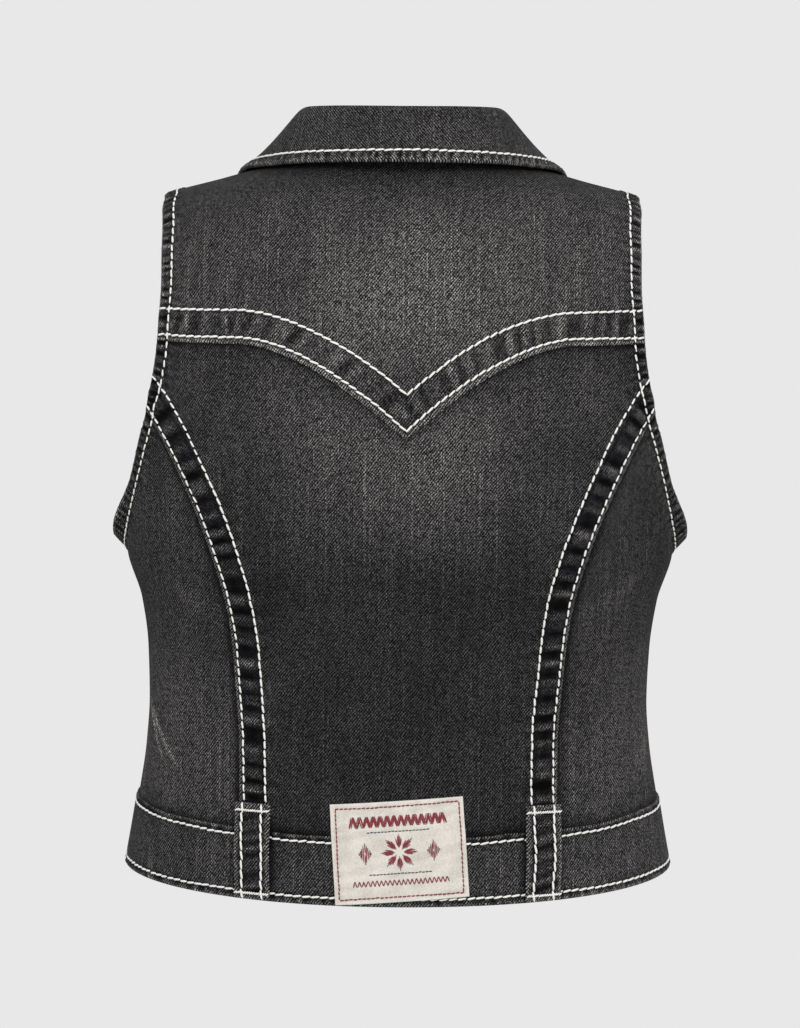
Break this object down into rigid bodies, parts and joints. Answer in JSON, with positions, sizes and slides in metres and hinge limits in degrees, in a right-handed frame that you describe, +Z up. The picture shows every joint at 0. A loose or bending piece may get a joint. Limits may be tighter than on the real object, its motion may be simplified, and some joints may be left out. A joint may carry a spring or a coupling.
{
  "type": "sleeveless denim vest",
  "caption": "Cropped sleeveless charcoal denim vest with fold-over collar, pointed back yoke, curved back seams, waistband with belt loops and a plain sewn back patch",
  "frame": {"origin": "on the middle plane, level with and midway between the points where the shoulder seams meet the neckline", "axes": "+Z up, +X the wearer's left, -Y the front of the vest and +Y its back"},
  "size_m": [0.3268, 0.2292, 0.4333],
  "materials": {
    "charcoal_denim": "washed black twill with cream topstitching",
    "seam_denim": "darker twill folded in layers",
    "cream_twill": "plain cream cotton with a red stitched border",
    "gunmetal": "dark pressed metal"
  },
  "bodies": {
    "root": {"back_yoke": "charcoal_denim", "back_panel": "charcoal_denim", "side_back_left": "charcoal_denim", "side_back_right": "charcoal_denim", "front_left": "charcoal_denim", "front_right": "charcoal_denim", "front_band": "charcoal_denim", "waistband_back": "charcoal_denim", "waistband_front_left": "charcoal_denim", "waistband_front_right": "charcoal_denim", "collar": "charcoal_denim", "belt_loop_left": "seam_denim", "belt_loop_right": "seam_denim", "patch": "cream_twill", "button_1": "gunmetal", "button_2": "gunmetal", "button_3": "gunmetal", "button_4": "gunmetal", "button_5": "gunmetal", "button_6": "gunmetal"}
  },
  "joints": []
}
